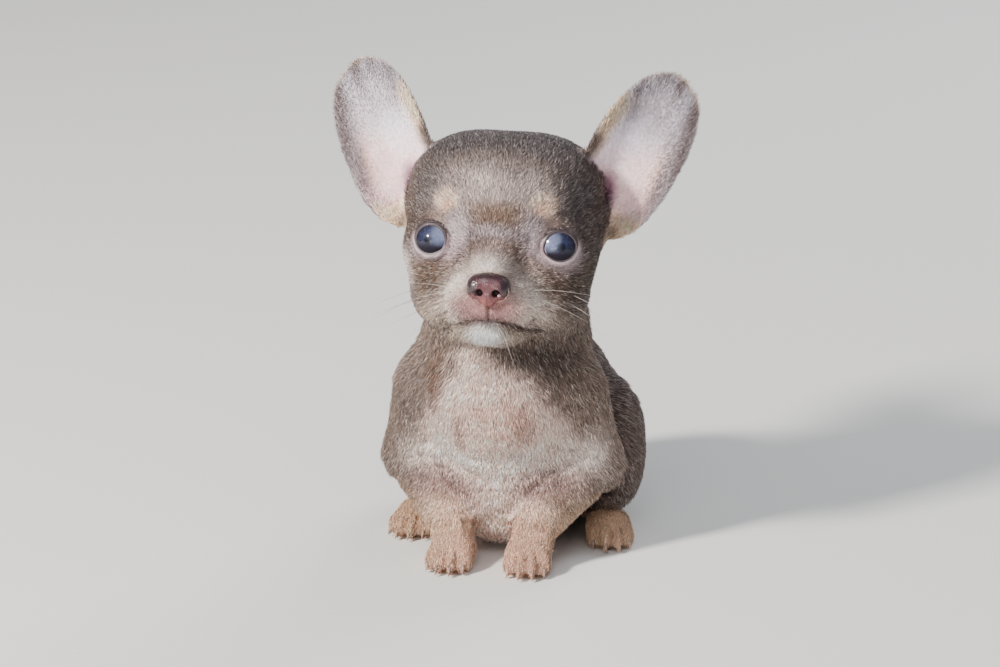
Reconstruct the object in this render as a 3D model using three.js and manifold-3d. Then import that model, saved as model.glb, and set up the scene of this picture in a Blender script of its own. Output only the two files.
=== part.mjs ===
// A short-coated chihuahua puppy sitting upright, life size, facing -Y with +Z up, in millimetres.
// Its flesh is a set of soft fields, one for each muscle or bone mass, blended into each other.
// Each named piece is a sphere of rings shrunk onto those fields, then parted from its neighbours by cuts.
import * as THREE from "three";
import { mergeVertices } from "three/addons/utils/BufferGeometryUtils.js";
import Module from "manifold-3d";

const wasm = await Module();
wasm.setup();

// Driving dimensions
const gap = 0.3; // between pieces that touch
const headPlace = { centre: [0, -4, 104], noseUp: 17, turn: 3, roll: 1.4 }; // degrees
const skull = { halfWidth: 30, halfLength: 31, halfHeight: 27.4 };
const eye = { side: 17.9, forward: 16, drop: 5.9, radius: 7.4, lid: 1.1, opening: [4.6, 4.4], outward: 14 };
const nose = { forward: 31.2, drop: 19.6, width: 12, height: 9.2, depth: 8 };
const ear = { halfLength: 27.9, halfWidth: 16, thick: 2.2, spread: 28, middle: [36.5, 6, 23.5] };
const earLeaf = { narrowing: 0.15, flare: 0.1, square: 0.24, cupLow: 0.075, cupHigh: 0.028, hollow: 1.5 };
const canal = { place: [29.6, 0, 9.5], radii: [3.2, 2.8, 4.2] };
const nostril = { aside: 2.7, drop: 1.2, radius: 1.05, length: 1.6, deep: 2.2, slant: 50 };
const chestShift = -2; // the chest stands a little to the dog's right of its head
const elbow = { side: 28, back: 4, height: 28, radius: 9.2 };
const wrist = { side: 13, back: -14, height: 12, radius: 7 };
const forepaw = { side: 11.8, front: -20, toeOut: 5 };
const hindpaw = { side: 30.5, front: 9, toeOut: 14 };
const claw = { length: 3.4, radius: 0.85, ahead: 4.4, height: 2.3, spread: 1.06, droop: 24 };
const tail = { root: 6, tip: 2.3, steps: 10 };
const lap = 2; // how far a limb's field reaches past the plane that trims it

const finishes = {
  coat: { color: 0x7d6e68, roughness: 0.9 },
  ear: { color: 0xe3cfd0, roughness: 0.85 },
  nose_leather: { color: 0x6e3a3c, roughness: 0.35 },
  eye: { color: 0x26344f, roughness: 0.05 },
  pale_coat: { color: 0xd8c6b8, roughness: 0.9 },
};

const rad = THREE.MathUtils.degToRad;
const vec = (p) => new THREE.Vector3(...p);
const mirrored = (side, [x, y, z]) => [side * x, y, z];
const sides = { left: 1, right: -1 }; // the dog's own left is +X

// Fields: functions of a point, below zero inside and about the distance outside

function ball([cx, cy, cz], [rx, ry, rz]) {
  const deepest = -Math.min(rx, ry, rz);
  return (x, y, z) => {
    const [X, Y, Z] = [(x - cx) / rx, (y - cy) / ry, (z - cz) / rz];
    const near = Math.hypot(X, Y, Z);
    const slope = Math.hypot(X / rx, Y / ry, Z / rz);
    return slope > 1e-6 ? (near * (near - 1)) / slope : deepest;
  };
}

function bone([ax, ay, az], [bx, by, bz], ra, rb) {
  const [dx, dy, dz] = [bx - ax, by - ay, bz - az];
  const square = dx * dx + dy * dy + dz * dz;
  return (x, y, z) => {
    const along = ((x - ax) * dx + (y - ay) * dy + (z - az) * dz) / square;
    const t = Math.min(1, Math.max(0, along));
    const r = ra + (rb - ra) * t;
    return Math.hypot(x - ax - dx * t, y - ay - dy * t, z - az - dz * t) - r;
  };
}

// Joins fields softly: the larger soft is, the wider the fillet between them.
function blend(soft, ...fields) {
  return (x, y, z) =>
    fields.reduce((low, field) => {
      const value = field(x, y, z);
      const mix = Math.max(soft - Math.abs(low - value), 0) / soft;
      return Math.min(low, value) - (mix * mix * soft) / 4;
    }, 1e3);
}

const within = (field, limit) => (x, y, z) => Math.max(field(x, y, z), limit(x, y, z));
const grown = (field, by) => (x, y, z) => field(x, y, z) - by;

// A field drawn in a turned frame, read in the part's frame.
function placed(matrix, field) {
  const back = matrix.clone().invert();
  const p = new THREE.Vector3();
  return (x, y, z) => {
    p.set(x, y, z).applyMatrix4(back);
    return field(p.x, p.y, p.z);
  };
}

// Half-spaces: normal points to the side that is left out.
function plane(point, normal) {
  const n = vec(normal).normalize();
  const offset = n.dot(vec(point));
  const field = (x, y, z) => n.x * x + n.y * y + n.z * z - offset;
  return { n, offset, field };
}

// Solids

function solid(geometry) {
  const bare = geometry.clone();
  bare.deleteAttribute("normal");
  bare.deleteAttribute("uv");
  const merged = mergeVertices(bare, 1e-4);
  return new wasm.Manifold(
    new wasm.Mesh({
      numProp: 3,
      vertProperties: new Float32Array(merged.attributes.position.array),
      triVerts: new Uint32Array(merged.index.array),
    }),
  );
}

function largest(manifold) {
  const bodies = manifold.decompose();
  return bodies.reduce((best, body) => (body.volume() > best.volume() ? body : best));
}

// The part of a solid on one side of a plane, kept half a gap back from it.
const keepBehind = (manifold, cut) =>
  manifold.trimByPlane([-cut.n.x, -cut.n.y, -cut.n.z], -cut.offset + gap / 2);
const keepAhead = (manifold, cut) =>
  manifold.trimByPlane([cut.n.x, cut.n.y, cut.n.z], cut.offset + gap / 2);
const onFloor = (manifold) => manifold.trimByPlane([0, 0, 1], 0);

// Shrinks a sphere of rings onto a field. Each vertex looks outward from its own place on the line
// from core[0] to core[1], and focus above 1 crowds the rings towards core[1].
function wrap(field, core, { rings, around, focus = 1, reach = 80, name = "" }) {
  const [a, b] = core.map(vec);
  const axis = b.clone().sub(a);
  const pole = axis.length() > 0 ? axis.clone().normalize() : vec([0, 0, 1]);
  const turn = new THREE.Quaternion().setFromUnitVectors(vec([0, 1, 0]), pole);
  const sphere = new THREE.SphereGeometry(1, around, rings);
  const points = sphere.attributes.position;
  const ray = new THREE.Vector3();
  const from = new THREE.Vector3();
  for (let i = 0; i < points.count; i++) {
    ray.fromBufferAttribute(points, i);
    const polar = Math.PI * Math.pow(Math.acos(THREE.MathUtils.clamp(ray.y, -1, 1)) / Math.PI, focus);
    const level = Math.hypot(ray.x, ray.z) || 1;
    const width = Math.sin(polar) / level;
    ray.set(ray.x * width, Math.cos(polar), ray.z * width).normalize();
    from.copy(a).addScaledVector(axis, (1 + ray.y) / 2);
    ray.applyQuaternion(turn);
    const far = edgeAlong(field, from, ray, reach, name);
    points.setXYZ(i, from.x + ray.x * far, from.y + ray.y * far, from.z + ray.z * far);
  }
  return solid(sphere);
}

// How far along a ray the field first turns positive.
function edgeAlong(field, from, ray, reach, name) {
  const at = (t) => field(from.x + ray.x * t, from.y + ray.y * t, from.z + ray.z * t);
  let inside = 0;
  let value = at(0);
  if (value > 0) throw new Error(name + " has its core outside its own field");
  let t = 0;
  while (t < reach) {
    t += Math.max(0.3, -0.7 * value);
    value = at(t);
    if (value > 0) break;
    inside = t;
  }
  let outside = t;
  for (let k = 0; k < 14; k++) {
    const middle = (inside + outside) / 2;
    if (at(middle) > 0) outside = middle;
    else inside = middle;
  }
  return inside;
}

// Head frame: its own -Y runs out of the face, and the face looks a little upward

const headFrame = new THREE.Matrix4()
  .makeTranslation(...headPlace.centre)
  .multiply(new THREE.Matrix4().makeRotationZ(rad(headPlace.turn)))
  .multiply(new THREE.Matrix4().makeRotationX(rad(-headPlace.noseUp)))
  .multiply(new THREE.Matrix4().makeRotationY(rad(headPlace.roll)));
const onHead = (p) => vec(p).applyMatrix4(headFrame).toArray();
const eyeCentre = (side) => mirrored(side, [eye.side, -eye.forward, -eye.drop]);

const bothSides = (make) => [make(1), make(-1)];

const cranium = blend(
  9,
  ball([0, 5, 1], [skull.halfWidth, skull.halfLength, skull.halfHeight]),
  ball([0, -10, 9], [21.5, 16, 16]),
  ...bothSides((s) => ball(mirrored(s, [13.5, 4, 11]), [14.5, 23, 14.8])),
);
const face = blend(
  5,
  cranium,
  ...bothSides((s) => ball(mirrored(s, [17, -8, -8]), [12.5, 13.5, 11])),
  ...bothSides((s) => ball(mirrored(s, [14.2, -3.5, -19.5]), [13, 15, 13.5])),
  ball([0, -17.5, -21], [13.5, 12, 9]),
  bone([0, -15, -9.5], [0, -28, -15.5], 7, 5.5),
  ...bothSides((s) => ball(mirrored(s, [13.6, -19, 4.5]), [7.5, 5.5, 5])),
  ...bothSides((s) => ball(mirrored(s, [24, 8, 9]), [7, 9, 12])),
);
const upperLips = blend(
  3.5,
  face,
  ...bothSides((s) => ball(mirrored(s, [6.2, -23.6, -23.4]), [7.6, 7, 6.6])),
  ball([0, -25, -25.4], [5, 5, 4]),
);
const lidDomes = bothSides((s) => {
  const r = eye.radius + eye.lid - 0.5;
  return ball(eyeCentre(s), [r, r, r]);
});
const headLocal = blend(2.4, upperLips, ...lidDomes);
const jawLocal = blend(
  5,
  ball([0, -19.6, -30.5], [9.4, 8, 5.7]),
  ...bothSides((s) => bone(mirrored(s, [6.5, -17.4, -29.6]), mirrored(s, [14.5, 1, -23.4]), 5.2, 8)),
  bone([0, -16, -28], [0, 2, -23], 7, 8),
);
const head = placed(headFrame, headLocal);
const jaw = placed(headFrame, jawLocal);

// Body frame

const onChest = ([x, y, z]) => [x + chestShift, y, z];
const throat = bone([0, -2, 90], [chestShift, 3, 70], 20, 24);
const nape = bone([0, 14, 100], [-1, 18, 72], 19, 21);
const thorax = ball(onChest([0, 4, 50]), [29, 26, 26]);
const breastbone = ball(onChest([0, -11, 54]), [17, 13, 16]);
const brisket = ball([-1, 4, 21], [21, 19, 20.8]);
const belly = ball([-1, 24, 27], [27, 26, 27.6]);
const pelvis = ball([1, 46, 27], [28, 25, 27.8]);
const back = bone([-1, 18, 64], [1, 50, 38], 20, 21);
const trunk = blend(10, throat, nape, thorax, breastbone, brisket, belly, pelvis, back);
const elbowPoint = (s) => onChest([s * elbow.side, elbow.back, elbow.height]);
const wristPoint = (s) => onChest([s * wrist.side, wrist.back, wrist.height]);
const upperArm = (s) => bone(onChest([s * 22, -1, 52]), elbowPoint(s), 11.5, elbow.radius);
const foreArm = (s) => bone(elbowPoint(s), wristPoint(s), elbow.radius, wrist.radius);
const thigh = (s) => blend(6, ball([s * 26, 33, 25], [12, 21, 21]), ball([s * 29, 23, 20], [9, 13, 14]));
const body = blend(5, trunk, ...bothSides(upperArm), ...bothSides(thigh));
const flesh = blend(5, body, ...bothSides(foreArm));
const headFlesh = blend(6, head, body);

// Cutting planes between the head, the neck and the trunk

const headCut = plane([0, -10, 77.5], [0, -0.36, 0.933]);
const neckCut = plane([0, -20, 62], [0, -0.385, 0.923]);
const beyond = (cut, by) => (x, y, z) => -cut.field(x, y, z) - by;
const before = (cut, by) => (x, y, z) => cut.field(x, y, z) - by;

const nodes = [];
function add(name, manifold, finish) {
  nodes.push({ name, manifold, finish });
}

// Head, with sockets and lid openings cut for the eyes and a seat for the nose

const eyeAim = (side) =>
  new THREE.Matrix4()
    .copy(headFrame)
    .multiply(new THREE.Matrix4().makeTranslation(...eyeCentre(side)))
    .multiply(new THREE.Matrix4().makeRotationZ(side * rad(eye.outward)));

// An almond prism that opens the lids, its inner corner drawn out towards the nose.
function lidOpening(side) {
  const [wide, high] = eye.opening;
  const corner = -side * (wide + 0.7);
  const outline = new THREE.Shape();
  outline.moveTo(corner, -1);
  outline.bezierCurveTo(-side * wide * 0.75, high * 1.15, side * wide * 0.6, high * 1.35, side * wide, 0.3);
  outline.bezierCurveTo(side * wide * 0.75, -high * 1.25, -side * wide * 0.5, -high * 1.2, corner, -1);
  const depth = eye.radius;
  const prism = new THREE.ExtrudeGeometry(outline, { depth, bevelEnabled: false, curveSegments: 6 });
  prism.rotateX(Math.PI / 2);
  prism.translate(0, -3.5, 0);
  return solid(prism.applyMatrix4(eyeAim(side)));
}

function sphereAt(centre, radius, rings, around) {
  const far = (x, y, z) => Math.hypot(x - centre[0], y - centre[1], z - centre[2]) - radius;
  return wrap(far, [centre, centre], { rings, around });
}

// The nose pad: a rounded heart with two comma nostrils.
const noseCentre = [0, -nose.forward, -nose.drop];
const noseWing = nose.height / 2 - 1;
const noseLocal = blend(
  2,
  ball([0, -nose.forward, -nose.drop + 1.2], [nose.width / 2, nose.depth / 2, nose.height / 2 - 1.2]),
  ...bothSides((s) =>
    ball(mirrored(s, [3.2, -nose.forward - 0.2, -nose.drop - 0.3]), [3.2, nose.depth / 2, noseWing]),
  ),
  ball([0, -nose.forward + 0.4, -nose.drop - 2.6], [2.6, 3.4, 2.6]),
);
const noseField = placed(headFrame, noseLocal);

const faceCore = [onHead([0, 6, -1]), onHead([0, -13, -14])];
function wrapHead(by, rings, around) {
  return wrap(grown(headFlesh, by), faceCore, { rings, around, focus: 1.4, name: "head" });
}

const headSolid = (() => {
  const field = within(headFlesh, beyond(headCut, 3));
  let made = wrap(field, faceCore, { rings: 34, around: 46, focus: 1.4, name: "head" });
  made = keepAhead(made, headCut);
  for (const side of [1, -1]) {
    const centre = onHead(eyeCentre(side));
    made = made
      .add(sphereAt(centre, eye.radius + eye.lid, 14, 22))
      .subtract(sphereAt(centre, eye.radius + 0.5, 9, 14))
      .subtract(lidOpening(side));
    const hollow = placed(headFrame, ball(mirrored(side, canal.place), canal.radii));
    const deep = onHead(mirrored(side, canal.place));
    made = made.subtract(wrap(hollow, [deep, deep], { rings: 6, around: 10 }));
  }
  const seatCore = [onHead(noseCentre), onHead(noseCentre)];
  const seat = wrap(grown(noseField, gap + 0.12), seatCore, { rings: 9, around: 16 });
  return largest(made.subtract(seat));
})();
add("head", headSolid, "coat");

// Lower jaw: what shows of the chin and mandible below the upper lips

const jawCore = [onHead([0, -2, -26]), onHead([0, -20, -30])];
const jawRaw = wrap(jaw, jawCore, { rings: 14, around: 24, focus: 1.1, name: "jaw" });
add("jaw", largest(jawRaw.subtract(wrapHead(gap, 30, 42))), "pale_coat");

function nostrilHole(side) {
  const hole = new THREE.CapsuleGeometry(nostril.radius, nostril.length, 3, 8);
  hole.rotateZ(-side * rad(nostril.slant));
  hole.scale(1, nostril.deep, 1);
  hole.translate(side * nostril.aside, -nose.forward - nose.depth / 2, -nose.drop - nostril.drop);
  return solid(hole.applyMatrix4(headFrame));
}
const nosePad = wrap(noseField, [onHead(noseCentre), onHead([0, -nose.forward - 1.5, -nose.drop])], {
  rings: 11,
  around: 20,
  name: "nose",
});
add("nose", largest(nosePad.subtract(nostrilHole(1)).subtract(nostrilHole(-1))), "nose_leather");

// Eyes: globes with a slightly bulging cornea towards the gaze

for (const [label, side] of Object.entries(sides)) {
  const aim = eyeAim(side);
  const cornea = ball([0, -2.3, 0], [5.3, 5.3, 5.3]);
  const globe = placed(aim, blend(0.6, ball([0, 0, 0], [eye.radius, eye.radius, eye.radius]), cornea));
  const centre = onHead(eyeCentre(side));
  const front = vec([0, -1, 0]).applyMatrix4(aim).toArray();
  add("eye_" + label, wrap(globe, [centre, front], { rings: 11, around: 18, name: "eye" }), "eye");
}

// Ears: a sphere flattened into an egg-shaped leaf and bent into a cup that opens forward

function earSolid(side) {
  const leaf = new THREE.SphereGeometry(1, 22, 15);
  const points = leaf.attributes.position;
  const tilt = rad(ear.spread);
  const up = vec([side * Math.sin(tilt), 0.1, Math.cos(tilt)]).normalize();
  const facing = vec([side * 0.3, -1, 0]);
  facing.addScaledVector(up, -facing.dot(up)).normalize();
  const across = new THREE.Vector3().crossVectors(facing, up);
  const middle = vec(mirrored(side, ear.middle));
  for (let i = 0; i < points.count; i++) {
    const [u, h, v] = [points.getX(i), points.getY(i), points.getZ(i)];
    const outer = side * u < 0 ? 1 + earLeaf.square * v * v : 1; // the outer edge has squarer corners
    const broad = ear.halfWidth * (1 - earLeaf.narrowing * v + earLeaf.flare * v * v) * outer;
    const bend = THREE.MathUtils.lerp(earLeaf.cupLow, earLeaf.cupHigh, (v + 1) / 2);
    const arc = u * broad * bend;
    const half = (Math.sign(h) * Math.sqrt(Math.abs(h)) * ear.thick * (1 - 0.25 * v)) / 2;
    const sideways = Math.sin(arc) / bend - Math.sin(arc) * half;
    const forward = (1 - Math.cos(arc)) / bend + Math.cos(arc) * half;
    const p = middle
      .clone()
      .addScaledVector(up, v * ear.halfLength)
      .addScaledVector(across, sideways)
      .addScaledVector(facing, forward - earLeaf.hollow * v * v);
    p.applyMatrix4(headFrame);
    points.setXYZ(i, p.x, p.y, p.z);
  }
  return largest(solid(leaf).subtract(wrapHead(gap, 34, 46)));
}
for (const [label, side] of Object.entries(sides)) add("ear_" + label, earSolid(side), "ear");

// Neck

const neckLimits = within(within(headFlesh, before(headCut, 9)), beyond(neckCut, 9));
const neckRaw = wrap(neckLimits, [[-1, 3, 73], [-1, 5, 79]], { rings: 17, around: 34, name: "neck" });
const jawClear = wrap(grown(jaw, gap), jawCore, { rings: 12, around: 20 });
add("neck", largest(keepAhead(keepBehind(neckRaw, headCut), neckCut).subtract(jawClear)), "coat");

// Trunk and limbs: each limb is the part of the blended flesh inside its own region

const armRegion = (s) => {
  const shoulder = onChest([s * 26, -2, 52]);
  return bone(shoulder, onChest([s * (elbow.side + 1), elbow.back, elbow.height - 3]), 15, 13);
};
const armCore = (s) => [onChest([s * 25, 0, 48]), elbowPoint(s)];
const foreRegion = (s) => bone(elbowPoint(s), wristPoint(s), elbow.radius + 1, wrist.radius + 1.2);
const foreCore = (s) => [
  onChest([s * (elbow.side - 4), elbow.back - 5, elbow.height - 4]),
  onChest([s * (wrist.side + 2.5), wrist.back + 3, wrist.height + 2.6]),
];
const thighRegion = (s) =>
  blend(6, ball([s * 29, 33, 24], [14.5, 24, 24]), ball([s * 32, 21, 18], [12, 15, 16]));
const thighCore = (s) => [
  [s * 27, 38, 25],
  [s * 28, 24, 20],
];
function elbowCut(s) {
  const through = onChest([s * (elbow.side - 2), elbow.back - 3, elbow.height - 4]);
  return plane(through, [s * 0.5, 0.5, 0.7]);
}
function wristCut(s) {
  const through = onChest([s * (wrist.side + 0.6), wrist.back + 1, wrist.height - 1]);
  return plane(through, [s * 0.3, 0.4, 0.86]);
}
const regionMesh = { rings: 9, around: 14 };
const block = (region, core) => ({
  own: wrap(region, core, regionMesh),
  clear: wrap(grown(region, gap), core, regionMesh),
});

// Toes fan out from the paw's own middle line, with grooves between them
const toeFan = [
  { across: -5.2, ahead: 2.6 },
  { across: -1.9, ahead: 5.4 },
  { across: 1.9, ahead: 5.4 },
  { across: 5.2, ahead: 2.6 },
];
function pawFrame(s, paw, x) {
  return new THREE.Matrix4()
    .makeTranslation(x, paw.front, 0)
    .multiply(new THREE.Matrix4().makeRotationZ(s * rad(paw.toeOut)));
}
const pawLocal = blend(
  2.2,
  ball([0, 3, 4.6], [7.2, 7.8, 5.6]),
  blend(0.7, ...toeFan.map(({ across, ahead }) => ball([across, -ahead, 3.1], [2.35, 4, 3.5]))),
);
function claws(frame) {
  return toeFan.map(({ across, ahead }) => {
    const cone = new THREE.ConeGeometry(claw.radius, claw.length, 5, 1);
    cone.rotateX(rad(90 + claw.droop));
    cone.translate(across * claw.spread, -ahead - claw.ahead, claw.height);
    return solid(cone.applyMatrix4(frame));
  });
}
const inFrame = (frame, p) => vec(p).applyMatrix4(frame).toArray();

const arms = {};
for (const [label, s] of Object.entries(sides)) {
  const frame = pawFrame(s, forepaw, chestShift + s * forepaw.side);
  const upperBlock = block(armRegion(s), armCore(s));
  const lowerBlock = block(foreRegion(s), foreCore(s));
  const limb = blend(3, flesh, placed(frame, pawLocal));
  const [elbowPlane, wristPlane] = [elbowCut(s), wristCut(s)];
  const upperField = within(within(flesh, grown(armRegion(s), lap)), beyond(elbowPlane, lap));
  const upperMesh = { rings: 12, around: 20, name: "foreleg_upper" };
  const upperRaw = wrap(upperField, armCore(s), upperMesh).intersect(upperBlock.own);
  const upper = keepAhead(upperRaw, elbowPlane);
  const lowerLimits = within(within(limb, grown(foreRegion(s), lap)), before(elbowPlane, lap));
  const lowerMesh = { rings: 11, around: 17, name: "foreleg_lower" };
  let lower = wrap(within(lowerLimits, beyond(wristPlane, lap)), foreCore(s), lowerMesh);
  lower = keepAhead(keepBehind(lower.intersect(lowerBlock.own), elbowPlane), wristPlane);
  const ownPaw = blend(3, foreArm(s), placed(frame, pawLocal));
  const pawCore = [inFrame(frame, [0, 3, 4.5]), inFrame(frame, [0, -2, 3.2])];
  const pawMesh = { rings: 12, around: 22, name: "forepaw" };
  let paw = keepBehind(wrap(within(ownPaw, before(wristPlane, lap)), pawCore, pawMesh), wristPlane);
  for (const nail of claws(frame)) paw = paw.add(nail);
  arms[label] = { upper, lower, paw, clear: upperBlock.clear.add(lowerBlock.clear) };
}

const legs = {};
for (const [label, s] of Object.entries(sides)) {
  const frame = pawFrame(s, hindpaw, s * hindpaw.side);
  const heel = placed(frame, bone([0, 4, 4.6], [-s * 3, 26, 4.8], 5, 4.6));
  const sole = blend(3, placed(frame, pawLocal), heel);
  const region = block(thighRegion(s), thighCore(s));
  const upperField = within(body, grown(thighRegion(s), lap));
  const raw = wrap(upperField, thighCore(s), { rings: 13, around: 20, name: "thigh" });
  const upper = raw.intersect(region.own).subtract(arms[label].clear);
  const core = [inFrame(frame, [-s * 1.5, 12, 4.6]), inFrame(frame, [0, -2, 3.2])];
  let foot = wrap(sole, core, { rings: 15, around: 20, focus: 1.1, name: "hindpaw" });
  for (const nail of claws(frame)) foot = foot.add(nail);
  const clear = wrap(grown(sole, gap + 0.15), core, { rings: 12, around: 16 });
  legs[label] = { upper: upper.subtract(clear), foot, clear, region: region.clear };
}

const trunkCore = [
  [-1, 40, 27],
  [-2, 6, 48],
];
const trunkField = within(body, before(neckCut, 3));
const trunkRaw = wrap(trunkField, trunkCore, { rings: 21, around: 32, name: "torso" });
let trunkSolid = onFloor(keepBehind(trunkRaw, neckCut));
for (const label of Object.keys(sides)) {
  trunkSolid = trunkSolid
    .subtract(arms[label].clear)
    .subtract(legs[label].region)
    .subtract(legs[label].clear);
}
add("torso", largest(trunkSolid), "coat");

for (const label of Object.keys(sides)) {
  const { upper, lower, paw } = arms[label];
  add("foreleg_upper_" + label, largest(upper), "coat");
  add("foreleg_lower_" + label, largest(lower.subtract(legs[label].clear)), "coat");
  add("forepaw_" + label, largest(onFloor(paw.subtract(legs[label].clear))), "pale_coat");
  add("thigh_" + label, largest(onFloor(legs[label].upper)), "coat");
  add("hindpaw_" + label, largest(onFloor(legs[label].foot)), "pale_coat");
}

// Tail: laid on the floor behind, curling to the dog's right

const tailPoints = [
  [1, 63, 13],
  [0, 72, 8.5],
  [-5, 80, 4.8],
  [-14, 84, 3.6],
  [-24, 83, 3],
  [-33, 78, 2.5],
  [-39, 71, 2.1],
];
const tailRoute = new THREE.CatmullRomCurve3(tailPoints.map(vec));
const tailRadius = (t) => THREE.MathUtils.lerp(tail.root, tail.tip, Math.pow(t, 0.7));
function tailSolid() {
  const frames = tailRoute.computeFrenetFrames(tail.steps);
  const tube = new THREE.CapsuleGeometry(1, 1, 3, 9, tail.steps);
  const points = tube.attributes.position;
  for (let i = 0; i < points.count; i++) {
    const [x, y, z] = [points.getX(i), points.getY(i), points.getZ(i)];
    const t = THREE.MathUtils.clamp(y + 0.5, 0, 1);
    const k = Math.round(t * tail.steps);
    const r = tailRadius(t);
    const p = tailRoute.getPointAt(t);
    p.addScaledVector(frames.tangents[k], (y + 0.5 - t) * r);
    p.addScaledVector(frames.binormals[k], x * r);
    p.addScaledVector(frames.normals[k], z * r);
    points.setXYZ(i, p.x, p.y, p.z);
  }
  return solid(tube);
}
const rump = wrap(grown(body, gap), trunkCore, { rings: 22, around: 34 });
add("tail", largest(onFloor(tailSolid()).subtract(rump)), "coat");

// The model: one named mesh for each piece, standing over the middle of its own base

const model = new THREE.Group();
for (const { name, manifold, finish } of nodes) {
  const made = manifold.getMesh();
  const geometry = new THREE.BufferGeometry();
  geometry.setAttribute("position", new THREE.BufferAttribute(new Float32Array(made.vertProperties), 3));
  geometry.setIndex(new THREE.BufferAttribute(new Uint32Array(made.triVerts), 1));
  geometry.computeVertexNormals();
  const mesh = new THREE.Mesh(geometry, new THREE.MeshStandardMaterial(finishes[finish]));
  mesh.name = name;
  model.add(mesh);
}
const box = new THREE.Box3().setFromObject(model);
const middle = box.getCenter(new THREE.Vector3());
model.position.set(-middle.x, -middle.y, -box.min.z);

export default model;
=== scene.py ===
import math
import bpy
import numpy as np
from mathutils import Matrix, Vector, kdtree


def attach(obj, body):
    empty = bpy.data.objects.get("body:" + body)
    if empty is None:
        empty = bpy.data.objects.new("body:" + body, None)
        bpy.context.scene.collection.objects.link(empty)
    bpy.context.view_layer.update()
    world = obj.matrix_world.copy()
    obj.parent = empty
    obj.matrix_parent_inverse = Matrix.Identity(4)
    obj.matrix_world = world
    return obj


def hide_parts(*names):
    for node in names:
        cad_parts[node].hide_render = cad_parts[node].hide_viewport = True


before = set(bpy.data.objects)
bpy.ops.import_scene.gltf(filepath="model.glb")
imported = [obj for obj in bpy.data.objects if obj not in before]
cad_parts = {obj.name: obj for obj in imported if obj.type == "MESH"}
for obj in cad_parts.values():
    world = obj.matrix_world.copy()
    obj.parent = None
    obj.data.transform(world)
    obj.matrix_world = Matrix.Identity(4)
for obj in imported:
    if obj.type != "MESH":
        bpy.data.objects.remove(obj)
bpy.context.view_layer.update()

# A chihuahua puppy sitting upright. Sizes are in millimetres until a mesh is made.
mm = 0.001
random = np.random.default_rng(11)


# Frames: the head's -Y runs out of the face, an eye's out of its pupil

def turned(axis, degrees):
    return np.array(Matrix.Rotation(math.radians(degrees), 3, axis))


class Place:
    def __init__(self, centre, turn):
        self.centre, self.turn = np.array(centre, float), turn

    def local(self, points):
        return (points - self.centre) @ self.turn

    def world(self, points):
        return np.asarray(points, float) @ self.turn.T + self.centre

    def inside(self, centre, turn):  # a frame drawn in this one
        return Place(self.world(centre), self.turn @ turn)


shift = np.array([0.164, -21.864, 0])  # from the animal's own middle to the frame's
sides = {"left": 1, "right": -1}  # the dog's own left is +X
head = Place(shift + (0, -4, 104), turned("Z", 3) @ turned("X", -17) @ turned("Y", 1.4))
eye = {
    "side": 17.9, "forward": 16, "drop": 5.9, "radius": 7.4, "outward": 14, "cornea": 5.3, "corneaAhead": 2.3,
}
eyes = {
    label: head.inside((s * eye["side"], -eye["forward"], -eye["drop"]), turned("Z", s * eye["outward"]))
    for label, s in sides.items()
}


# Small tools

def ease(low, high, x):
    t = np.clip((x - low) / (high - low), 0, 1)
    return t * t * (3 - 2 * t)


def spot(points, centre, reach, soft=0.5):  # 1 inside an ellipsoid, 0 well outside it
    far = np.linalg.norm((points - np.array(centre)) / np.array(reach), axis=-1)
    return 1 - ease(1 - soft, 1 + soft, far)


def unit(v):
    return v / np.maximum(np.linalg.norm(v, axis=-1, keepdims=True), 1e-9)


def towards(values, goal, share):  # moves each row to its goal by its share
    return values + share[:, None] * (goal - values)


def laidFlat(v, n):  # v without its part along the normal
    return v - (v * n).sum(1, keepdims=True) * n


def toSegment(points, start, end):
    start, along = np.array(start, float), np.subtract(end, start)
    t = np.clip((points - start) @ along / (along @ along), 0, 1)
    return np.linalg.norm(points - start - t[:, None] * along, axis=1)


def ripple(points, size, seed):  # smooth noise from -1 to 1, its bumps about size across
    waves = np.random.default_rng(seed)
    ways = unit(waves.normal(size=(9, 3))) * (2 * math.pi / (size * waves.uniform(1.6, 3.2, (9, 1))))
    return np.sin(points @ ways.T + waves.uniform(0, 6.28, 9)).sum(-1) / 4.5


def tone(red, green, blue):  # an 8-bit screen colour as linear light
    c = np.array([red, green, blue]) / 255
    return np.where(c <= 0.04045, c / 12.92, ((c + 0.055) / 1.055) ** 2.4)


def deselect():
    if bpy.context.object and bpy.context.object.mode != "OBJECT":
        bpy.ops.object.mode_set(mode="OBJECT")
    bpy.ops.object.select_all(action="DESELECT")


def activate(*objects):
    deselect()
    for o in objects:
        o.select_set(True)
    bpy.context.view_layer.objects.active = objects[0]
    return objects[0]


def modify(piece, kind, **settings):
    activate(piece)
    bpy.ops.object.modifier_add(type=kind)
    for key, value in settings.items():
        setattr(piece.modifiers[-1], key, value)
    bpy.ops.object.modifier_apply(modifier=piece.modifiers[-1].name)


def editAll(piece, step):  # one edit-mode step on the whole mesh
    activate(piece)
    bpy.ops.object.mode_set(mode="EDIT")
    bpy.ops.mesh.select_all(action="SELECT")
    step()
    bpy.ops.object.mode_set(mode="OBJECT")


def linked(item):
    bpy.context.scene.collection.objects.link(item)
    return item


def fetched(items, key, width, kind=np.float32):
    values = np.empty(len(items) * width, kind)
    items.foreach_get(key, values)
    return values.reshape(-1, width)


def stored(items, key, values, kind=np.float32):
    items.foreach_set(key, values.astype(kind).ravel())


def pointsOf(piece):
    return fetched(piece.data.vertices, "co", 3).astype(float) / mm


def movePoints(piece, points):
    stored(piece.data.vertices, "co", points * mm)
    piece.data.update()


def normalsOf(piece):
    return fetched(piece.data.vertex_normals, "vector", 3).astype(float)


def edgesOf(piece):
    return fetched(piece.data.edges, "vertices", 2, np.int32)


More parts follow.
